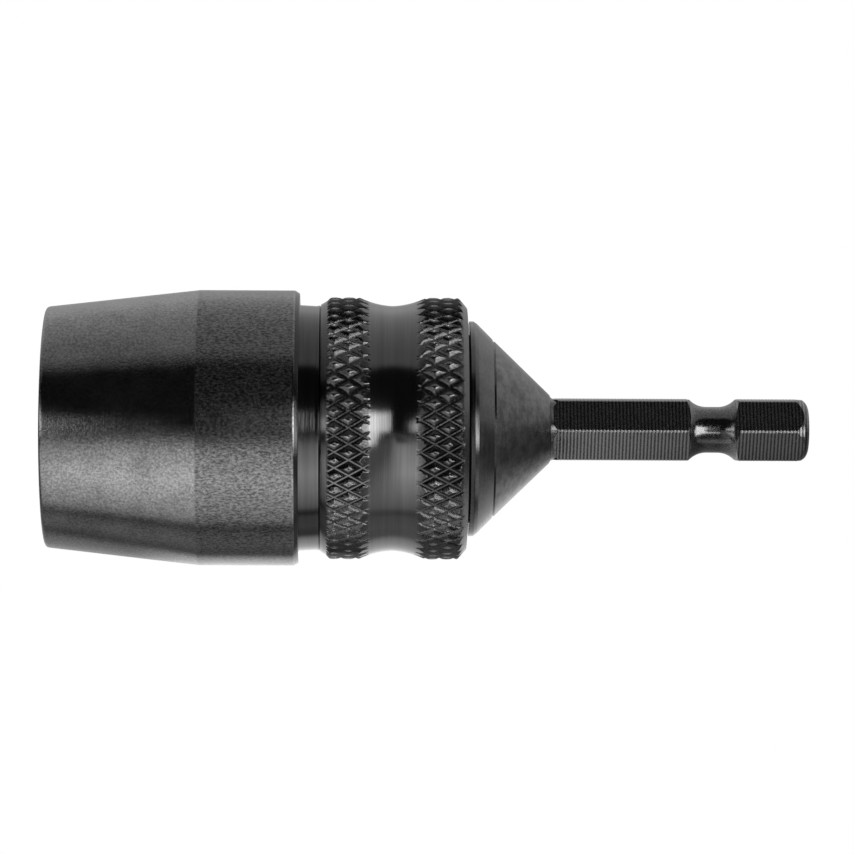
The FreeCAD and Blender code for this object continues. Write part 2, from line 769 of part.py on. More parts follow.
derive_sizes()
doc = FreeCAD.newDocument("drill_chuck")
sheet = make_sheet()
made = [make_front_sleeve(), make_hood(), make_spindle(), make_hex_shank(), *make_turned_rings()]
made += [make_cage(BALL_COUNT), make_guide(), make_jaw_screw(), make_balls(BALL_COUNT)]
made += [make_key_pins(), make_cross_pin(), make_lock_screw()]
made += [make_jaw(index, azimuth) for index, azimuth in enumerate(JAW_AZIMUTHS, start=1)]
check_document()
export(made)
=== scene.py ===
"""Looks of the drill chuck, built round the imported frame.

Stations are millimetres along the chuck's axis from the nose face, as in the CAD source. Angles
round the axis start at the side that faces the camera (-Y) and go up over the top.
"""

import math

import bpy
import numpy as np
from mathutils import Matrix, Vector


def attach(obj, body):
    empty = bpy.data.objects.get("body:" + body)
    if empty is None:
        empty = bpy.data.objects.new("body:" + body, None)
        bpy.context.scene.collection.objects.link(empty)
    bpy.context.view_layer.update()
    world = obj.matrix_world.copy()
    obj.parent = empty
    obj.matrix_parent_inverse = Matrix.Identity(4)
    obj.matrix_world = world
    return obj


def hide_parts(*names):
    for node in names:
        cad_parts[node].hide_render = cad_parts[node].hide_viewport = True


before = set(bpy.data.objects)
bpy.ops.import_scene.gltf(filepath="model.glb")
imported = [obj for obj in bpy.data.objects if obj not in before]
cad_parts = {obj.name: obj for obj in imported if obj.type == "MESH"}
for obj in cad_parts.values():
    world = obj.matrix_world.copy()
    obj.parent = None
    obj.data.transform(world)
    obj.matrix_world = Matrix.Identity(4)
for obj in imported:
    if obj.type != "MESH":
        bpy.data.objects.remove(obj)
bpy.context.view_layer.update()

MM = 0.001
DEGREES = 180.0 / math.pi
LENGTH = 80.2

# Camera: distance from the axis, the point it looks at, and how it stands to the chuck in degrees.
CAMERA_DISTANCE = 450.0
CAMERA_TARGET = -40.135
CAMERA_RISE = 0.17
CAMERA_YAW = -1.0
CAMERA_ELEVATION = 3.0
CAMERA_ROLL = 0.3
SENSOR = 36.0
VIEW_WIDTH = 90.05

# Outlines of the turned pieces: corners of a closed loop, each a station, a radius and a rounding.
# The sleeve is a slight cone and then a cylinder, with the seats inside. The spindle has the drive
# bore, the bearing hub, the rounded rim and the front of the cone.
SLEEVE_OUTLINE = (
    (0.0, 9.8, 0.25), (0.0, 12.66, 0.5), (16.15, 14.49, 0.15), (26.14, 14.49, 0.3),
    (26.62, 14.18, 0.12), (26.62, 13.05, 0.0), (26.0, 13.05, 0.0), (26.0, 12.7, 0.0),
    (23.6, 12.7, 0.0), (23.6, 12.3, 0.0), (12.6, 12.3, 0.0), (12.6, 11.0, 0.0),
    (1.2, 11.0, 0.0), (1.2, 9.8, 0.0),
)
SPINDLE_OUTLINE = (
    (27.6, 5.05, 0.1), (27.6, 7.5, 0.2), (30.2, 7.5, 0.0), (30.2, 7.0, 0.0),
    (31.2, 7.0, 0.0), (31.2, 7.5, 0.0), (36.0, 7.5, 0.0), (36.0, 8.0, 0.0),
    (44.45, 8.0, 0.0), (44.45, 8.6, 0.0), (45.2, 8.6, 0.0), (45.2, 9.9, 0.0),
    (44.45, 9.9, 0.0), (44.45, 11.32, 0.05), (44.9, 11.32, 0.1), (45.28, 11.06, 0.04),
    (46.9, 9.44, 0.03), (46.93, 9.25, 0.0), (47.0, 9.25, 0.0),
    (47.0, 5.5, 0.0), (41.6, 5.5, 0.0), (41.6, 5.2, 0.0), (35.5, 5.2, 0.0), (35.5, 5.05, 0.0),
)
# The hood's outline before its knurl, from the bore round the spigot and the neck, and after it.
HOOD_FRONT = (
    (28.4, 11.75, 0.0), (23.8, 11.75, 0.0), (23.8, 12.7, 0.0), (26.0, 12.7, 0.0),
    (26.0, 12.99, 0.0), (28.42, 12.86, 0.1), (28.7, 12.92, 0.03), (28.79, 12.84, 0.0),
    (28.87, 13.03, 0.03), (29.42, 13.36, 0.0),
)
HOOD_BACK = (
    (44.2, 12.55, 0.0), (44.2, 8.05, 0.0), (41.0, 8.05, 0.0), (41.0, 11.0, 0.0), (28.4, 11.0, 0.0),
)
# The shank's outline before its hexagon: stud, seam and cone.
SHANK_FRONT = (
    (41.6, 5.3, 0.0), (41.8, 5.5, 0.0), (47.0, 5.5, 0.0), (47.0, 9.15, 0.0),
    (47.1, 9.15, 0.0), (47.12, 9.22, 0.0), (52.95, 3.6, 0.06), (53.02, 3.4, 0.0),
)

# Knurled lands: where they start, the radius there and on their crown, and the hood's back face.
LAND_START = 29.5
LAND_EDGE = 13.4
LAND_CROWN = 13.8
HOOD_END = 44.2
# Waist: two hollow curves that meet at a faint crease, each centred a little past it.
WAIST_CREASE = 36.4
WAIST_SPLIT = 0.4
WAIST_CURVE = 8.8
WAIST_RADIUS = 12.89
# Rear chamfer of the hood: where it starts, its fall to a millimetre, and half its rounding.
CHAMFER_START = 43.3
CHAMFER_SLOPE = 1.2
CHAMFER_EASE = 0.14

# Knurl: a diamond pattern of crossing grooves, in one continuous lattice over both lands, with a
# crossing at one station and turned a little, and so many mesh steps to a diamond.
KNURLS_AROUND = 50
KNURL_PITCH = 2.951
KNURL_CROSSING = 31.81
KNURL_TURN = -0.45
KNURL_BOTTOM = 13.34
STEPS = 20
# Stations that the fine rings cover, those that have grooves, and the waist's wider-set ones.
FINE_RINGS = (29.62, 44.1)
GROOVED = (29.55, 44.15)
SPARSE_RINGS = (34.15, 38.55)
# Fine columns to each column of the rings before and after the knurl.
COLUMN_SHARE = 4
# Rise of the knurl above its groove bottoms, at distances square to the nearest groove's middle.
KNURL_RISE = (
    (0.0, 0.0), (0.07, 0.0), (0.14, 0.10), (0.28, 0.24), (0.42, 0.34), (0.55, 0.43), (0.75, 0.46),
)
# The pit in each diamond's middle, and the small dents, which fade out towards the grooves.
CRATER_REACH = 0.01
CRATER_DEPTH = 0.12
KNURL_DENTS = 0.007
DENT_SEED = 7
DENT_FADE = 0.15

# Hexagon: size across its flats, distance from the axis of a corner and of a flat, columns to a
# side, and the small rounding on each corner.
HEX_SIZE = 6.35
HEX_CORNER = HEX_SIZE / math.sqrt(3.0)
HEX_FLAT = HEX_SIZE / 2.0
HEX_COLUMNS = 14
CORNER_EASE = 0.14
CORNER_CUT = 0.045
CORNER_FALL = 0.02
# Round neck before the hexagon: radius, end, and how far before the hexagon its last ring lies.
# The hexagon starts further back the higher it stands over the neck, by this much to a millimetre.
NECK_RADIUS = 3.33
NECK_END = 53.3
NECK_OVERLAP = 0.02
CORNER_SETBACK = 1.7
# Power groove: middle, half its flat, and the radius of its bottom and of its hollow ends.
GROOVE_MIDDLE = 70.115
GROOVE_FLAT = 0.6
GROOVE_BOTTOM = 2.42
GROOVE_CURVE = 2.5
# The cutter's marks across the hexagon's flats, and the rings that carry them and the groove.
RIDGE_PITCH = 0.37
RIDGE_DEPTH = 0.018
FRONT_RINGS = 230
REAR_RINGS = 110
HOLLOW_RINGS = 12
# The hexagon's end: where its chamfer leaves the corners, and its rounded point.
END_CHAMFER = 78.8
END_POINT = (
    (79.6, 3.17), (79.78, 3.06), (79.95, 2.9), (80.08, 2.7), (80.16, 2.52), (80.2, 2.4),
)

# Greys of the black oxide, as dark and light base colours.
NOSE_GREY = (0.09, 0.24)
BLASTED_GREY = (0.045, 0.18)
BEVEL_GREY = 0.045
SLOPE_GREY = (0.035, 0.085)
CREST_GREY = (0.1, 0.22)
BOTTOM_GREY = (0.09, 0.14)
WAIST_GREY = (0.1, 0.125)
# The neck's greys are darker by a painted shade, the shadow that the sleeve casts on it.
NECK_PAINTED_SHADE_GREY = (0.068, 0.09)
# The slope behind the neck has one grey, darker still, as a painted shade under the sleeve's edge.
RELIEF_PAINTED_SHADE_GREY = 0.06
HEX_GREY = (0.045, 0.2)
EDGE_GREY = 0.3
CONE_GREY = (0.077, 0.144)
SPINDLE_GREY = (0.072, 0.125)

# Where the finishes and the neck's painted shade change, as stations or radii over which one passes
# into the next.
BLASTED_START = (15.95, 16.2)
BLASTED_END = (25.95, 26.05)
BEVEL_START = (26.16, 26.24)
# Here the neck's painted shade passes into the waist's grey.
NECK_SHADE_STEP = (28.5, 28.8)
LAND_FRONT = (29.3, 29.7)
WAIST_START = (33.2, 34.4)
WAIST_END = (38.4, 39.6)
CREST_RADII = (13.69, 13.76)
BOTTOM_RADII = (13.36, 13.4)
CONE_END = (52.9, 53.3)
FLATS_START = (53.5, 54.0)
EDGE_RADII = (3.58, 3.6)
# The slope behind the neck has one even dark grey, a painted shade where the sleeve shades it: its
# middle station and its reach each side.
RELIEF_SHADE_SPAN = (29.18, 0.42)
# The power groove's own finish, each side of its middle: its reach, the part that is all groove,
# and the radius under which the rest is.
HOLLOW_REACH = 2.35
HOLLOW_CORE = 2.0
HOLLOW_RADIUS = 3.16

# Studio: radiance of the dark front and of the broad light overhead, with its near edge, its left
# end, its rise from near to far, and its fall behind the chuck.
FRONT_DARK = 0.022
OVERHEAD_EDGE = (61.0, 67.0)
OVERHEAD_LEFT = (-0.95, -0.7)
OVERHEAD_RISE = (70.0, 140.0, 0.42, 0.85)
OVERHEAD_BACK = (142.0, 165.0, 1.0, 0.55)
# Softboxes: swing from and to in degrees right of the camera, lift from and to, how much the lift
# drops to a degree of swing, softness of the sides, strength. Their tops and feet all have the
# softness SOFTBOX_EDGE.
SOFTBOXES = (
    (8.5, 68.0, 0.5, 18.2, 0.07, 2.5, 3.6),
    (24.0, 66.0, 0.5, 17.0, 0.07, 8.0, 2.6),
    (-82.0, -28.0, -12.0, 8.5, 0.0, 4.0, 2.6),
    (-85.0, -56.0, 0.0, 18.0, 0.0, 6.0, 0.8),
)
SOFTBOX_EDGE = 3.0

# Floor: half its side in metres, and its height, under the sleeve.
FLOOR_SIZE = 3.0
FLOOR_HEIGHT = -14.5
# The floor's glow at distances in front of the axis: under the sleeve and hood, and under the
# shank, with the places (from the shank's end) between which the one passes into the other.
FLOOR_GLOW = (
    (-12.0, 1.6), (4.2, 1.2), (5.2, 0.25), (6.4, 0.25), (7.2, 0.42), (10.0, 0.38), (10.4, 0.12),
    (11.1, 0.12), (11.6, 0.75), (13.5, 1.1),
    (17.0, 1.6), (24.0, 2.1), (35.0, 1.7), (60.0, 1.35), (120.0, 0.9), (180.0, 0.6),
)
SHANK_FLOOR_GLOW = (
    (-12.0, 1.2), (0.0, 0.85), (5.0, 0.6), (10.0, 0.5), (14.0, 0.5), (22.0, 0.45), (60.0, 0.4),
    (180.0, 0.3),
)
FLOOR_BEHIND = 12.0
FLOOR_REACH = 180.0
FLOOR_PEAK = 2.1
FLOOR_BLEND = (-53.0, -34.0)
# The floor dims beyond the shank's end, far left of the nose, and less so beside the nose.
FLOOR_END = (-26.0, -2.0, 1.0, 0.16)
FLOOR_LEFT = (-150.0, -112.0, 0.15, 1.0)
FLOOR_CORNER = (-96.0, -80.0, 0.66, 1.0)
# Close under the nose it dims too, by a share.
NOSE_DIP_SIDES = (-72.0, -62.0)
NOSE_DIP_REACH = (4.0, 6.5)
NOSE_DIP = 0.6
# A dim patch in front of the rim: sides and reach, each with its softness, and share.
RIM_DIP_SIDES = (-34.5, -27.5, 1.5)
RIM_DIP_REACH = (4.0, 19.0, 3.0)
RIM_DIP = 0.8
# A bright strip beside the hexagon, which its lower flat mirrors: sides, reach and glow.
STRIP_SIDES = (-27.0, 7.0, 1.5)
STRIP_REACH = (7.0, 14.5, 1.5)
STRIP_GLOW = 0.4
# The camera's own shade, far in front of the hood: sides with their softness, start and share.
SHADE_SIDES = (-84.0, -54.0, 3.0)
SHADE_START = (76.0, 92.0)
SHADE = 0.85
# The right softbox's foot, seen from the hood: bearing with its softness, distance and glow.
FOOT_BEARING = (24.0, 74.0, 4.0)
FOOT_START = (62.0, 78.0)
FOOT_GLOW = 5.0


# ---------------------------------------------------------------- outlines and meshes

def rounded(corners, steps=4):
    """Outline points from (station, radius, rounding) corners of a closed loop."""
    points = []
    count = len(corners)
    for index, (station, radius, ease) in enumerate(corners):
        here = Vector((station, radius))
        if ease <= 0.0:
            points.append((station, radius))
            continue
        before = Vector(corners[index - 1][:2]) - here
        after = Vector(corners[(index + 1) % count][:2]) - here
        half = before.angle(after) / 2.0
        reach = min(ease / math.tan(half), before.length * 0.48, after.length * 0.48)
        first = here + before.normalized() * reach
        last = here + after.normalized() * reach
        for step in range(steps + 1):
            share = step / steps
            low = first.lerp(here, share)
            high = here.lerp(last, share)
            points.append(tuple(low.lerp(high, share)))
    return points


def place(stations, radii, angles):
    """Points in metres in the frame from stations, radii and angles round the axis."""
    stations, radii, angles = np.broadcast_arrays(stations, radii, angles)
    return np.stack([
        (stations - LENGTH) * MM,
        -radii * np.cos(angles) * MM,
        radii * np.sin(angles) * MM,
    ], axis=-1)


def mesh_object(name, points, faces, sharp_degrees):
    """A mesh object with smooth faces and sharp edges above an angle."""
    mesh = bpy.data.meshes.new(name)
    mesh.from_pydata([tuple(point) for point in points], [], faces)
    mesh.validate()
    mesh.update()
    mesh.polygons.foreach_set("use_smooth", [True] * len(mesh.polygons))
    mesh.set_sharp_from_angle(angle=math.radians(sharp_degrees))
    thing = bpy.data.objects.new(name, mesh)
    bpy.context.scene.collection.objects.link(thing)
    return thing


def ring_faces(first, second, columns, diagonal=None):
    """Faces between two rings of equally many points; diagonal picks how each quad is split."""
    faces = []
    for column in range(columns):
        after = (column + 1) % columns
        a, b = first + column, first + after
        c, d = second + after, second + column
        if diagonal is None:
            faces.append((a, d, c, b))
        elif diagonal[column]:
            faces += [(a, c, b), (a, d, c)]
        else:
            faces += [(a, d, b), (b, d, c)]
    return faces


def widen_faces(coarse, fine, coarse_columns, fine_columns, fine_behind):
    """Faces between a coarse ring and a fine ring behind it or before it."""
    times = fine_columns // coarse_columns
    faces = []
    for column in range(coarse_columns):
        after = (column + 1) % coarse_columns
        edge = [fine + (column * times + step) % fine_columns for step in range(times + 1)]
        face = [coarse + column, coarse + after] + edge[::-1]
        faces.append(tuple(face[::-1] if fine_behind else face))
    return faces


def lathe(name, corners, columns, sharp_degrees):
    """A closed turned shape from its half outline."""
    outline = np.array(rounded(corners))
    angles = np.arange(columns) * 2.0 * math.pi / columns
    points = place(outline[:, :1], outline[:, 1:], angles[None, :]).reshape(-1, 3)
    faces = []
    for row in range(len(outline)):
        following = (row + 1) % len(outline)
        faces += ring_faces(row * columns, following * columns, columns)
    return mesh_object(name, points, faces, sharp_degrees)


# ---------------------------------------------------------------- the knurled hood

def hood_surface(station):
    """The hood's outer radius with no grooves."""
    if station < LAND_START:
        return LAND_EDGE
    radius = min(LAND_CROWN, LAND_EDGE + (station - LAND_START))
    beyond = station - CHAMFER_START + CHAMFER_EASE
    if beyond > 2.0 * CHAMFER_EASE:
        radius = LAND_CROWN - (station - CHAMFER_START) * CHAMFER_SLOPE
    elif beyond > 0.0:
        radius = LAND_CROWN - CHAMFER_SLOPE * beyond ** 2 / (4.0 * CHAMFER_EASE)
    across = abs(station - WAIST_CREASE) + WAIST_SPLIT
    if across < WAIST_CURVE:
        centre = WAIST_RADIUS + math.sqrt(WAIST_CURVE ** 2 - WAIST_SPLIT ** 2)
        radius = min(radius, centre - math.sqrt(WAIST_CURVE ** 2 - across ** 2))
    return radius


def lattice_row(station):
    """A station's place along the knurl's lattice, in pitches."""
    return (station - KNURL_CROSSING) / KNURL_PITCH


def groove_shares(turns, row):
    """How far lattice places are from the nearest groove of each family, in pitches."""
    first, second = turns + row, turns - row
    return np.abs(first - np.round(first)), np.abs(second - np.round(second))


def groove_height(turns, row):
    """Height of the knurl above its groove bottoms at lattice places."""
    first, second = groove_shares(turns, row)
    pitch = 2.0 * math.pi * LAND_CROWN / KNURLS_AROUND
    across = pitch * math.cos(math.atan(pitch / KNURL_PITCH))
    height = np.interp(np.minimum(first, second) * across, *zip(*KNURL_RISE))
    crater = (np.abs(first - 0.5) + np.abs(second - 0.5)) < CRATER_REACH
    return height - CRATER_DEPTH * crater


def uneven(rows, columns):
    """Small dents and bumps left by the rolling, in mm, over rows and columns of points."""
    dents = np.random.default_rng(DENT_SEED).normal(0.0, KNURL_DENTS, (rows, columns))
    dents = dents + np.roll(dents, 1, 0) + np.roll(dents, 1, 1) + np.roll(dents, (1, 1), (0, 1))
    return dents / 2.0


def knurl_rows():
    """Stations of the fine rings: on the lattice over the lands, wider apart over the waist."""
    step = KNURL_PITCH / STEPS
    first, last = [(end - KNURL_CROSSING) / step for end in FINE_RINGS]
    rows = []
    for index in range(math.ceil(first), math.floor(last) + 1):
        station = KNURL_CROSSING + index * step
        if SPARSE_RINGS[0] < station < SPARSE_RINGS[1] and index % 2:
            continue
        rows.append(station)
    return [LAND_START] + rows + [HOOD_END]


def knurl_radii(stations, turns):
    """Radii of the fine rings, a row to each station."""
    for station, dents in zip(stations, uneven(len(stations), len(turns))):
        height = groove_height(turns, lattice_row(station))
        height = height + dents * np.minimum(height / DENT_FADE, 1.0)
        surface = hood_surface(station)
        grooved = GROOVED[0] < station < GROOVED[1]
        yield np.minimum(surface, KNURL_BOTTOM + height) if grooved else surface


def make_hood():
    """The knurled hand ring: true grooves on both lands, a hollow waist and the bores inside."""
    fine = KNURLS_AROUND * STEPS
    coarse = fine // COLUMN_SHARE
    angles = np.arange(fine) * 2.0 * math.pi / fine
    turns = np.arange(fine) / STEPS + KNURL_TURN
    stations = knurl_rows()
    front, back = rounded(HOOD_FRONT), rounded(HOOD_BACK)
    rings = [place(*point, angles[::COLUMN_SHARE]) for point in front]
    rings += [place(station, radii, angles)
              for station, radii in zip(stations, knurl_radii(stations, turns))]
    rings += [place(*point, angles[::COLUMN_SHARE]) for point in back]

    starts = np.cumsum([0] + [len(ring) for ring in rings]).tolist()
    front_starts = starts[:len(front)]
    fine_starts = starts[len(front):len(front) + len(stations)]
    back_starts = starts[len(front) + len(stations):-1]
    faces = []
    for first, second in zip(front_starts, front_starts[1:]):
        faces += ring_faces(first, second, coarse)
    faces += widen_faces(front_starts[-1], fine_starts[0], coarse, fine, True)
    for row in range(len(stations) - 1):
        middle = lattice_row((stations[row] + stations[row + 1]) / 2.0)
        one, other = groove_shares(turns + 0.5 / STEPS, middle)
        faces += ring_faces(fine_starts[row], fine_starts[row + 1], fine, one >= other)
    faces += widen_faces(back_starts[0], fine_starts[-1], coarse, fine, False)
    for first, second in zip(back_starts, back_starts[1:] + [0]):
        faces += ring_faces(first, second, coarse)
    return mesh_object("knurled_hood_turned", np.concatenate(rings), faces, 32.0)


# ---------------------------------------------------------------- the hexagonal shank

def hex_columns():
    """Angles and radii round the hexagon, with a small rounding on each corner."""
    angles, radii = [], []
    half_width = HEX_CORNER / 2.0 - CORNER_EASE
    for side in range(6):
        middle = math.radians(30.0 + 60.0 * side)
        for step in range(HEX_COLUMNS + 1):
            across = half_width * math.sin((step / HEX_COLUMNS * 2.0 - 1.0) * math.pi / 2.0)
            angles.append(middle + math.atan2(across, HEX_FLAT))
            radii.append(math.hypot(across, HEX_FLAT))
        corner = math.radians(60.0 * (side + 1))
        for turn in (-0.5, 0.0, 0.5):
            angles.append(corner + turn * CORNER_EASE / HEX_CORNER)
            radii.append(HEX_CORNER - CORNER_CUT - CORNER_FALL * abs(turn) * 2.0)
    return np.array(angles), np.array(radii)


def groove_reach(radii):
    """How far each side of the power groove's flat its hollow curve meets each radius."""
    rise = np.clip(GROOVE_BOTTOM + GROOVE_CURVE - radii, -GROOVE_CURVE, GROOVE_CURVE)
    return np.sqrt(GROOVE_CURVE ** 2 - rise ** 2)


def ridged(stations, radii):
    """The hexagon's radii with the fine ridges that the cutter left along it."""
    wave = 0.5 - 0.5 * np.sin(stations * 2.0 * math.pi / RIDGE_PITCH)
    return radii - RIDGE_DEPTH * wave


def make_shank():
    """The shank: stud, back of the cone, round neck, and the hexagon with its power groove."""
    angles, radii = hex_columns()
    columns = len(angles)
    low, high = GROOVE_MIDDLE - GROOVE_FLAT, GROOVE_MIDDLE + GROOVE_FLAT
    hollow = GROOVE_BOTTOM + GROOVE_CURVE
    reach = groove_reach(radii)
    start = NECK_END + np.maximum(radii - NECK_RADIUS, 0.0) * CORNER_SETBACK
    end = END_CHAMFER + (HEX_CORNER - radii) * math.sqrt(3.0)
    rings = []

    def ring(stations, ring_radii):
        rings.append(place(stations, ring_radii, angles))

    for station, radius in rounded(SHANK_FRONT):
        ring(station, radius)
    ring(start - NECK_OVERLAP, np.minimum(radii, NECK_RADIUS))
    for share in np.linspace(0.0, 1.0, FRONT_RINGS):
        stations = start + (low - reach - start) * share
        ring(stations, ridged(stations, radii))
    for share in np.linspace(0.0, 1.0, HOLLOW_RINGS)[1:]:
        along = reach * (1.0 - share)
        ring(low - along, hollow - np.sqrt(GROOVE_CURVE ** 2 - along ** 2))
    for share in np.linspace(0.0, 1.0, HOLLOW_RINGS)[:-1]:
        along = reach * share
        ring(high + along, hollow - np.sqrt(GROOVE_CURVE ** 2 - along ** 2))
    for share in np.linspace(0.0, 1.0, REAR_RINGS):
        stations = high + reach + (end - high - reach) * share
        ring(stations, ridged(stations, radii))
    for station, radius in END_POINT:
        ring(np.maximum(station, end), np.minimum(radius, radii))

    faces = []
    for row in range(len(rings) - 1):
        faces += ring_faces(row * columns, (row + 1) * columns, columns)
    faces.append(tuple(range(columns)))
    faces.append(tuple(reversed(range((len(rings) - 1) * columns, len(rings) * columns))))
    return mesh_object("hex_shank_milled", np.concatenate(rings), faces, 14.0)


# ---------------------------------------------------------------- materials

class Graph:
    """A short way to write sums in a node tree."""

    def __init__(self, tree):
        self.tree = tree

    def link(self, source, target):
        """Feeds an input from a socket, or sets it to a value."""
        if isinstance(source, bpy.types.NodeSocket):
            self.tree.links.new(source, target)
        else:
            target.default_value = source

    def calc(self, operation, *values, clamp=False):
        """One sum on numbers."""
        node = self.tree.nodes.new("ShaderNodeMath")
        node.operation = operation
        node.use_clamp = clamp
        for value, socket in zip(values, node.inputs):
            self.link(value, socket)
        return node.outputs[0]

    def times(self, first, *others):
        """The product of several numbers."""
        for other in others:
            first = self.calc("MULTIPLY", first, other)
        return first

    def rest(self, share):
        """What a share leaves of one."""
        return self.calc("SUBTRACT", 1.0, share)

    def smooth(self, value, low, high, start=0.0, stop=1.0):
        """Maps one range onto another, smoothly and with no overshoot."""
        node = self.tree.nodes.new("ShaderNodeMapRange")
        node.interpolation_type = "SMOOTHSTEP"
        for number, socket in zip((value, low, high, start, stop), node.inputs):
            self.link(number, socket)
        return node.outputs[0]

    def between(self, value, low, high, soft):
        """One inside a range, falling softly to nothing outside it."""
        return self.times(self.smooth(value, low - soft, low + soft),
                          self.smooth(value, high - soft, high + soft, 1.0, 0.0))

    def floor_steps(self, distance, table):
        """The floor's glow at a distance, from a table of (distance, glow)."""
        ramp = self.tree.nodes.new("ShaderNodeValToRGB")
        span = FLOOR_REACH + FLOOR_BEHIND
        self.link(self.calc("DIVIDE", self.calc("ADD", distance, FLOOR_BEHIND), span),
                  ramp.inputs[0])
        stops = ramp.color_ramp.elements
        while len(stops) < len(table):
            stops.new(0.5)
        for stop, (place_of_stop, glow) in zip(stops, table):
            stop.position = (place_of_stop + FLOOR_BEHIND) / span
            stop.color = (glow / FLOOR_PEAK,) * 3 + (1.0,)
        return self.times(ramp.outputs[0], FLOOR_PEAK)


def grey(value):
    """A neutral colour."""
    return (value, value, value)


class Finish(Graph):
    """A material with a short way to write its node tree."""

    def __init__(self, name):
        self.material = bpy.data.materials.new(name)
        self.material.use_nodes = True
        super().__init__(self.material.node_tree)
        self.shader = self.tree.nodes["Principled BSDF"]
        coordinates = self.tree.nodes.new("ShaderNodeTexCoord")
        node = self.vector("SCALE", coordinates.outputs["Object"])
        node.inputs["Scale"].default_value = 1.0 / MM
        self.place = node.outputs[0]

    def feed(self, socket, source):
        """Links or sets one of the shader's inputs."""
        self.link(source, self.shader.inputs[socket])

    def vector(self, operation, *values):
        """A node for one sum on vectors."""
        node = self.tree.nodes.new("ShaderNodeVectorMath")
        node.operation = operation
        for value, socket in zip(values, node.inputs):
            self.link(value, socket)
        return node

    def noise(self, stretch, detail, roughness):
        """Noise with about so many spots to the millimetre along each axis."""
        node = self.tree.nodes.new("ShaderNodeTexNoise")
        self.link(self.vector("MULTIPLY", self.place, stretch).outputs[0], node.inputs["Vector"])
        node.inputs["Scale"].default_value = 1.0
        node.inputs["Detail"].default_value = detail
        node.inputs["Roughness"].default_value = roughness
        return node.outputs["Fac"]

    def station(self):
        """The station along the axis in millimetres."""
        node = self.tree.nodes.new("ShaderNodeSeparateXYZ")
        self.link(self.place, node.inputs[0])
        return self.calc("ADD", node.outputs[0], LENGTH)

    def radius(self):
        """The distance from the axis in millimetres."""
        across = self.vector("MULTIPLY", self.place, (0.0, 1.0, 1.0))
        return self.vector("LENGTH", across.outputs[0]).outputs["Value"]

    def wander(self, noise, low, high, reach=0.2):
        """A value that goes from low to high over the middle of a noise's range."""
        return self.smooth(noise, 0.5 - reach, 0.5 + reach, low, high)

    def pass_over(self, share, first, second):
        """One number passing into another."""
        return self.calc("ADD", first, self.times(share, self.calc("SUBTRACT", second, first)))

    def bump(self, height, strength, normal=None):
        """A normal bent by a height, over an earlier one."""
        node = self.tree.nodes.new("ShaderNodeBump")
        node.inputs["Distance"].default_value = MM
        self.link(strength, node.inputs["Strength"])
        self.link(height, node.inputs["Height"])
        if normal is not None:
            self.link(normal, node.inputs["Normal"])
        return node.outputs[0]

    def blend(self, share, first, second):
        """One colour passing into another."""
        node = self.tree.nodes.new("ShaderNodeMix")
        node.data_type = "RGBA"
        self.link(share, node.inputs[0])
        self.link(first, node.inputs[6])
        self.link(second, node.inputs[7])
        return node.outputs[2]

    def tint(self, share, dark, light):
        """A colour between a dark and a light one."""
        return self.blend(share, (*dark, 1.0), (*light, 1.0))

    def mottle(self, noise, depths, reach=0.2):
        """A grey that wanders with a noise between a dark and a light depth."""
        dark, light = depths
        return self.tint(self.wander(noise, 0.0, 1.0, reach), grey(dark), grey(light))

    def cover(self, share, colour, depth):
        """A colour passing into one even grey."""
        return self.blend(share, colour, (*grey(depth), 1.0))


def turned_steel(name, dark, light, roughness, lines, grain):
    """Steel turned on a lathe: fine lines round the axis over a faint grain."""
    finish = Finish(name)
    blotches = finish.noise((0.25, 0.25, 0.25), 4.0, 0.6)
    fine = finish.noise((5.0, 5.0, 5.0), 3.0, 0.6)
    rings = finish.noise((9.0, 0.12, 0.12), 3.0, 0.7)
    share = finish.calc("ADD", finish.times(blotches, 0.5), finish.times(fine, 0.5))
    finish.feed("Base Color", finish.tint(finish.wander(share, 0.0, 1.0), dark, light))
    finish.feed("Metallic", 1.0)
    finish.feed("Roughness", finish.wander(rings, roughness * 0.8, roughness * 1.25))
    finish.feed("Normal", finish.bump(fine, grain, finish.bump(rings, lines)))
    return finish.material


def plain_metal(name, dark, light, roughness):
    """Ground or drawn metal with a fine uneven surface."""
    return turned_steel(name, dark, light, roughness, 0.004, 0.015)


def sleeve_steel():
    """The sleeve's black oxide: satin turned cone, then a cylinder with a fine blasted grain."""
    finish = Finish("black_oxide_sleeve")
    station = finish.station()
    blasted = finish.times(finish.smooth(station, *BLASTED_START),
                           finish.smooth(station, *BLASTED_END, 1.0, 0.0))
    blotches = finish.noise((0.22, 0.22, 0.22), 5.0, 0.62)
    fine = finish.noise((3.8, 4.2, 4.2), 4.0, 0.75)
    grain = finish.noise((2.7, 5.6, 5.6), 3.0, 0.72)
    rings = finish.noise((7.0, 0.1, 0.1), 3.0, 0.7)
    share = finish.calc("ADD", finish.times(blotches, 0.25), finish.times(fine, 0.75))
    colour = finish.blend(blasted, finish.mottle(share, NOSE_GREY, 0.16),
                          finish.mottle(grain, BLASTED_GREY, 0.18))
    colour = finish.cover(finish.smooth(station, *BEVEL_START), colour, BEVEL_GREY)
    finish.feed("Base Color", colour)
    scatter = finish.times(finish.wander(grain, 0.02, 0.13), blasted)
    finish.feed("Metallic", finish.rest(scatter))
    finish.feed("Roughness", finish.pass_over(blasted, finish.wander(blotches, 0.11, 0.16, 0.15),
                                              finish.wander(blotches, 0.15, 0.2, 0.15)))
    normal = finish.bump(rings, finish.smooth(blasted, 0.0, 1.0, 0.02, 0.008))
    normal = finish.bump(fine, finish.smooth(blasted, 0.0, 1.0, 0.065, 0.0), normal)
    normal = finish.bump(grain, finish.smooth(blasted, 0.0, 1.0, 0.0, 0.042), normal)
    finish.feed("Normal", normal)
    return finish.material


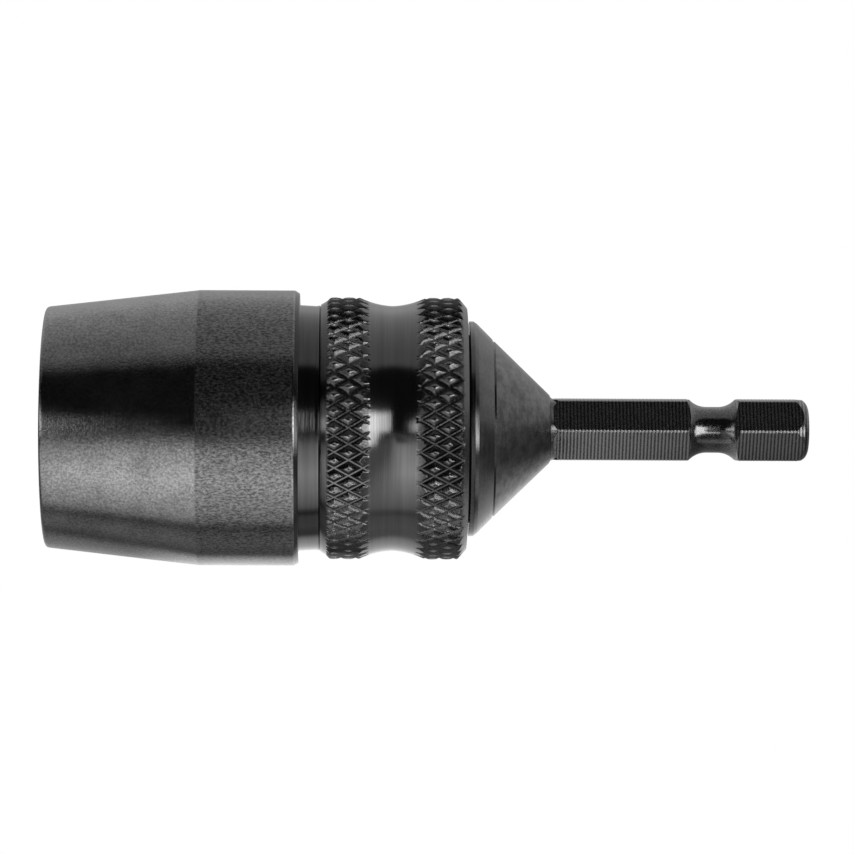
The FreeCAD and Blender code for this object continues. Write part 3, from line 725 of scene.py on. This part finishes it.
def hood_steel():
    """Black oxide on the hood: rolled knurl, rubbed bright on its crests, over turned steel."""
    finish = Finish("black_oxide_hood")
    station, radius = finish.station(), finish.radius()
    fine = finish.noise((6.0, 6.0, 6.0), 4.0, 0.65)
    rings = finish.noise((7.0, 0.1, 0.1), 3.0, 0.7)
    streaks = finish.noise((2.2, 0.04, 0.04), 4.0, 0.75)
    knurl = finish.blend(finish.smooth(radius, *CREST_RADII), finish.mottle(fine, SLOPE_GREY),
                         finish.mottle(fine, CREST_GREY))
    knurl = finish.blend(finish.smooth(radius, *BOTTOM_RADII, 1.0, 0.0), knurl,
                         finish.mottle(fine, BOTTOM_GREY))
    # The neck's darker grey is painted shade from the sleeve; the waist has the turned steel's own
    # grey.
    turned = finish.blend(finish.smooth(station, *NECK_SHADE_STEP), finish.mottle(streaks, NECK_PAINTED_SHADE_GREY),
                          finish.mottle(streaks, WAIST_GREY))
    # The slope behind the neck is covered by one dark grey, a painted shade from the sleeve.
    turned = finish.cover(finish.calc("COMPARE", station, *RELIEF_SHADE_SPAN), turned, RELIEF_PAINTED_SHADE_GREY)
    waist = finish.times(finish.smooth(station, *WAIST_START),
                         finish.smooth(station, *WAIST_END, 1.0, 0.0))
    lathed = finish.calc("ADD", waist, finish.smooth(station, *LAND_FRONT, 1.0, 0.0), clamp=True)
    finish.feed("Base Color", finish.blend(lathed, knurl, turned))
    finish.feed("Metallic", 1.0)
    finish.feed("Roughness", finish.pass_over(lathed, finish.wander(fine, 0.12, 0.26), 0.14))
    normal = finish.bump(streaks, finish.times(lathed, 0.03))
    normal = finish.bump(rings, finish.times(lathed, 0.03), normal)
    normal = finish.bump(fine, finish.smooth(lathed, 0.0, 1.0, 0.1, 0.004), normal)
    finish.feed("Normal", normal)
    return finish.material


def shank_steel():
    """The shank's black oxide: brushed cone, then flats with the cutter's marks across them."""
    finish = Finish("black_oxide_shank")
    station, radius = finish.station(), finish.radius()
    marks = finish.calc("SINE", finish.times(station, 2.0 * math.pi / RIDGE_PITCH))
    drift = finish.noise((3.0, 0.8, 0.8), 2.0, 0.5)
    fine = finish.noise((7.0, 7.0, 7.0), 3.0, 0.6)
    patches = finish.noise((1.3, 0.8, 0.8), 5.0, 0.7)
    rings = finish.noise((8.0, 0.1, 0.1), 3.0, 0.7)
    # The power groove is all of its middle, and what lies below the flats near its ends.
    core = finish.calc("COMPARE", station, GROOVE_MIDDLE, HOLLOW_CORE)
    below = finish.calc("MAXIMUM", finish.calc("LESS_THAN", radius, HOLLOW_RADIUS), core)
    groove = finish.times(finish.calc("COMPARE", station, GROOVE_MIDDLE, HOLLOW_REACH), below)
    flats = finish.times(finish.rest(groove), finish.smooth(station, *FLATS_START))
    cone = finish.smooth(station, *CONE_END, 1.0, 0.0)
    line = finish.calc("ADD", finish.times(marks, flats, 0.3), fine)
    edge = finish.times(finish.smooth(radius, *EDGE_RADII), flats)
    hexagon = finish.cover(edge, finish.mottle(line, HEX_GREY, 0.3), EDGE_GREY)
    finish.feed("Base Color", finish.blend(cone, hexagon, finish.mottle(patches, CONE_GREY, 0.16)))
    finish.feed("Metallic", 1.0)
    satin = finish.times(finish.calc("ADD", edge, 0.1), 0.35)
    rough = finish.pass_over(cone, finish.wander(fine, 0.14, 0.24), 0.21)
    rough = finish.calc("SUBTRACT", finish.calc("ADD", rough, satin), finish.times(groove, 0.06))
    finish.feed("Roughness", rough)
    normal = finish.bump(finish.times(marks, drift, flats), 0.03)
    normal = finish.bump(rings, finish.times(cone, 0.035), normal)
    normal = finish.bump(fine, finish.smooth(station, *CONE_END, 0.01, 0.02), normal)
    finish.feed("Normal", normal)
    return finish.material


def seal_rubber():
    """Matt black rubber."""
    finish = Finish("seal_rubber_matt")
    fine = finish.noise((8.0, 8.0, 8.0), 3.0, 0.6)
    finish.feed("Base Color", finish.tint(fine, grey(0.012), grey(0.03)))
    finish.feed("Roughness", finish.wander(fine, 0.6, 0.8))
    finish.feed("Normal", finish.bump(fine, 0.03))
    return finish.material


def wear(thing, material):
    """Gives an object one material."""
    thing.data.materials.clear()
    thing.data.materials.append(material)


# ---------------------------------------------------------------- the stage

def make_camera():
    """The photograph's view: level with the chuck, a little above and towards the nose."""
    data = bpy.data.cameras.new("camera")
    data.sensor_width = SENSOR
    data.lens = SENSOR * CAMERA_DISTANCE / VIEW_WIDTH
    camera = bpy.data.objects.new("camera", data)
    bpy.context.scene.collection.objects.link(camera)
    yaw, rise = math.radians(CAMERA_YAW), math.radians(CAMERA_ELEVATION)
    away = Vector((math.sin(yaw) * math.cos(rise), -math.cos(yaw) * math.cos(rise), math.sin(rise)))
    camera.location = Vector((CAMERA_TARGET, 0.0, CAMERA_RISE)) * MM + away * CAMERA_DISTANCE * MM
    turn = (-away).to_track_quat("-Z", "Y").to_matrix()
    roll = Matrix.Rotation(math.radians(CAMERA_ROLL), 3, "Z")
    camera.rotation_euler = (turn @ roll).to_euler()
    bpy.context.scene.camera = camera


def floor_glow(graph, forward, side):
    """The floor's glow by its place in front of the axis and along it, in millimetres."""
    shank = graph.smooth(side, *FLOOR_BLEND)
    glow = graph.calc("ADD", graph.times(graph.floor_steps(forward, FLOOR_GLOW), graph.rest(shank)),
                      graph.times(graph.floor_steps(forward, SHANK_FLOOR_GLOW), shank))
    nose_dip = graph.times(graph.smooth(side, *NOSE_DIP_SIDES, NOSE_DIP, 0.0),
                           graph.smooth(forward, *NOSE_DIP_REACH, 1.0, 0.0))
    rim_dip = graph.times(graph.between(side, *RIM_DIP_SIDES),
                          graph.between(forward, *RIM_DIP_REACH), RIM_DIP)
    shade = graph.times(graph.between(side, *SHADE_SIDES),
                        graph.smooth(forward, *SHADE_START, 0.0, SHADE))
    glow = graph.times(glow, graph.smooth(side, *FLOOR_END), graph.smooth(side, *FLOOR_LEFT),
                       graph.smooth(side, *FLOOR_CORNER), graph.rest(nose_dip),
                       graph.rest(rim_dip), graph.rest(shade))
    along = graph.calc("ADD", side, -CAMERA_TARGET)
    bearing = graph.times(graph.calc("ARCTAN2", along, forward), DEGREES)
    reach = graph.calc("SQRT", graph.calc("ADD", graph.calc("POWER", along, 2.0),
                                          graph.calc("POWER", forward, 2.0)))
    foot = graph.times(graph.between(bearing, *FOOT_BEARING),
                       graph.smooth(reach, *FOOT_START, 0.0, FOOT_GLOW))
    strip = graph.times(graph.between(side, *STRIP_SIDES), graph.between(forward, *STRIP_REACH),
                        STRIP_GLOW)
    return graph.calc("ADD", glow, graph.calc("ADD", foot, strip))


def floor_white():
    """Plain white from above, graded where only reflections see it, and clear from below."""
    material = bpy.data.materials.new("floor_white")
    material.use_nodes = True
    tree = material.node_tree
    tree.nodes.clear()
    new = tree.nodes.new
    graph = Graph(tree)
    split = new("ShaderNodeSeparateXYZ")
    graph.link(new("ShaderNodeTexCoord").outputs["Object"], split.inputs[0])
    forward = graph.times(split.outputs[1], -1.0 / MM)
    side = graph.times(split.outputs[0], 1.0 / MM)
    graded = new("ShaderNodeEmission")
    graph.link(floor_glow(graph, forward, side), graded.inputs["Strength"])
    plain = new("ShaderNodeEmission")
    plain.inputs["Strength"].default_value = 1.0
    clear = new("ShaderNodeBsdfTransparent")
    seen = new("ShaderNodeMixShader")
    below = new("ShaderNodeMixShader")
    graph.link(new("ShaderNodeLightPath").outputs["Is Camera Ray"], seen.inputs[0])
    graph.link(graded.outputs[0], seen.inputs[1])
    graph.link(plain.outputs[0], seen.inputs[2])
    graph.link(new("ShaderNodeNewGeometry").outputs["Backfacing"], below.inputs[0])
    graph.link(seen.outputs[0], below.inputs[1])
    graph.link(clear.outputs[0], below.inputs[2])
    graph.link(below.outputs[0], new("ShaderNodeOutputMaterial").inputs["Surface"])
    return material


def make_floor():
    """A plain floor that the sleeve lies on."""
    size, height = FLOOR_SIZE, FLOOR_HEIGHT * MM
    corners = [(-size, -size, height), (size, -size, height), (size, size, height),
               (-size, size, height)]
    floor = mesh_object("floor", corners, [(0, 1, 2, 3)], 30.0)
    wear(floor, floor_white())


def studio_light(graph, direction):
    """The studio's radiance in a direction, given as sockets along, behind and up."""
    along, behind, height = direction
    forward = graph.times(behind, -1.0)
    rise = graph.times(graph.calc("ARCTAN2", height, forward), DEGREES)
    swing = graph.times(graph.calc("ARCTAN2", along, forward), DEGREES)
    lift = graph.times(graph.calc("ARCSINE", height), DEGREES)
    overhead = graph.times(graph.smooth(rise, *OVERHEAD_EDGE), graph.smooth(along, *OVERHEAD_LEFT),
                           graph.smooth(rise, *OVERHEAD_RISE), graph.smooth(rise, *OVERHEAD_BACK))
    light = graph.calc("ADD", FRONT_DARK, overhead)
    for low, high, bottom, top, slant, soft, strength in SOFTBOXES:
        level = graph.calc("ADD", lift, graph.times(swing, slant))
        box = graph.times(graph.between(swing, low, high, soft),
                          graph.between(level, bottom, top, SOFTBOX_EDGE), strength)
        light = graph.calc("ADD", light, box)
    return light


def make_world():
    """A dark studio front with a broad light overhead, behind a white background."""
    world = bpy.data.worlds.new("studio")
    bpy.context.scene.world = world
    world.use_nodes = True
    tree = world.node_tree
    tree.nodes.clear()
    new = tree.nodes.new
    graph = Graph(tree)
    split = new("ShaderNodeSeparateXYZ")
    graph.link(new("ShaderNodeTexCoord").outputs["Generated"], split.inputs[0])
    studio, white = new("ShaderNodeBackground"), new("ShaderNodeBackground")
    for background in (studio, white):
        background.inputs["Color"].default_value = (1.0, 1.0, 1.0, 1.0)
    graph.link(studio_light(graph, split.outputs), studio.inputs["Strength"])
    seen = new("ShaderNodeMixShader")
    graph.link(new("ShaderNodeLightPath").outputs["Is Camera Ray"], seen.inputs[0])
    graph.link(studio.outputs[0], seen.inputs[1])
    graph.link(white.outputs[0], seen.inputs[2])
    graph.link(seen.outputs[0], new("ShaderNodeOutputWorld").inputs["Surface"])


# ---------------------------------------------------------------- assembly

def take_place(piece, node, body, material):
    """Lets a piece stand for a CAD node."""
    wear(piece, material)
    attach(piece, body)
    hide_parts(node)


bpy.context.scene.view_settings.view_transform = "Standard"
make_camera()
make_world()
make_floor()

spindle_steel = turned_steel("black_oxide_spindle", *map(grey, SPINDLE_GREY), 0.2, 0.035, 0.02)
take_place(lathe("front_sleeve_turned", SLEEVE_OUTLINE, columns=320, sharp_degrees=40.0),
           "front_sleeve", "hood", sleeve_steel())
take_place(make_hood(), "knurled_hood", "hood", hood_steel())
take_place(lathe("spindle_turned", SPINDLE_OUTLINE, columns=256, sharp_degrees=30.0),
           "spindle", "spindle", spindle_steel)
take_place(make_shank(), "hex_shank", "spindle", shank_steel())

dark_steel = plain_metal("dark_steel_satin", grey(0.10), grey(0.17), 0.3)
jaw_steel = plain_metal("jaw_steel_ground", grey(0.2), grey(0.32), 0.28)
bearing_steel = plain_metal("bearing_steel_polished", grey(0.5), grey(0.6), 0.12)
bare_steel = plain_metal("bare_steel_ground", grey(0.38), grey(0.5), 0.22)
spring_steel = plain_metal("spring_steel_dark", grey(0.1), grey(0.16), 0.35)
brass = plain_metal("brass_satin", (0.5, 0.36, 0.14), (0.66, 0.5, 0.22), 0.26)
CAD_FINISHES = {
    "shank_cross_pin": bare_steel, "dust_seal": seal_rubber(), "thrust_nut": dark_steel,
    "nut_lock_screw": dark_steel, "retaining_ring": spring_steel, "front_race": bearing_steel,
    "rear_race": bearing_steel, "ball_cage": brass, "bearing_balls": bearing_steel,
    "jaw_guide": dark_steel, "guide_key_pins": bare_steel, "jaw_screw": dark_steel,
    "jaw_1": jaw_steel, "jaw_2": jaw_steel, "jaw_3": jaw_steel,
}
for node, finish in CAD_FINISHES.items():
    wear(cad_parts[node], finish)
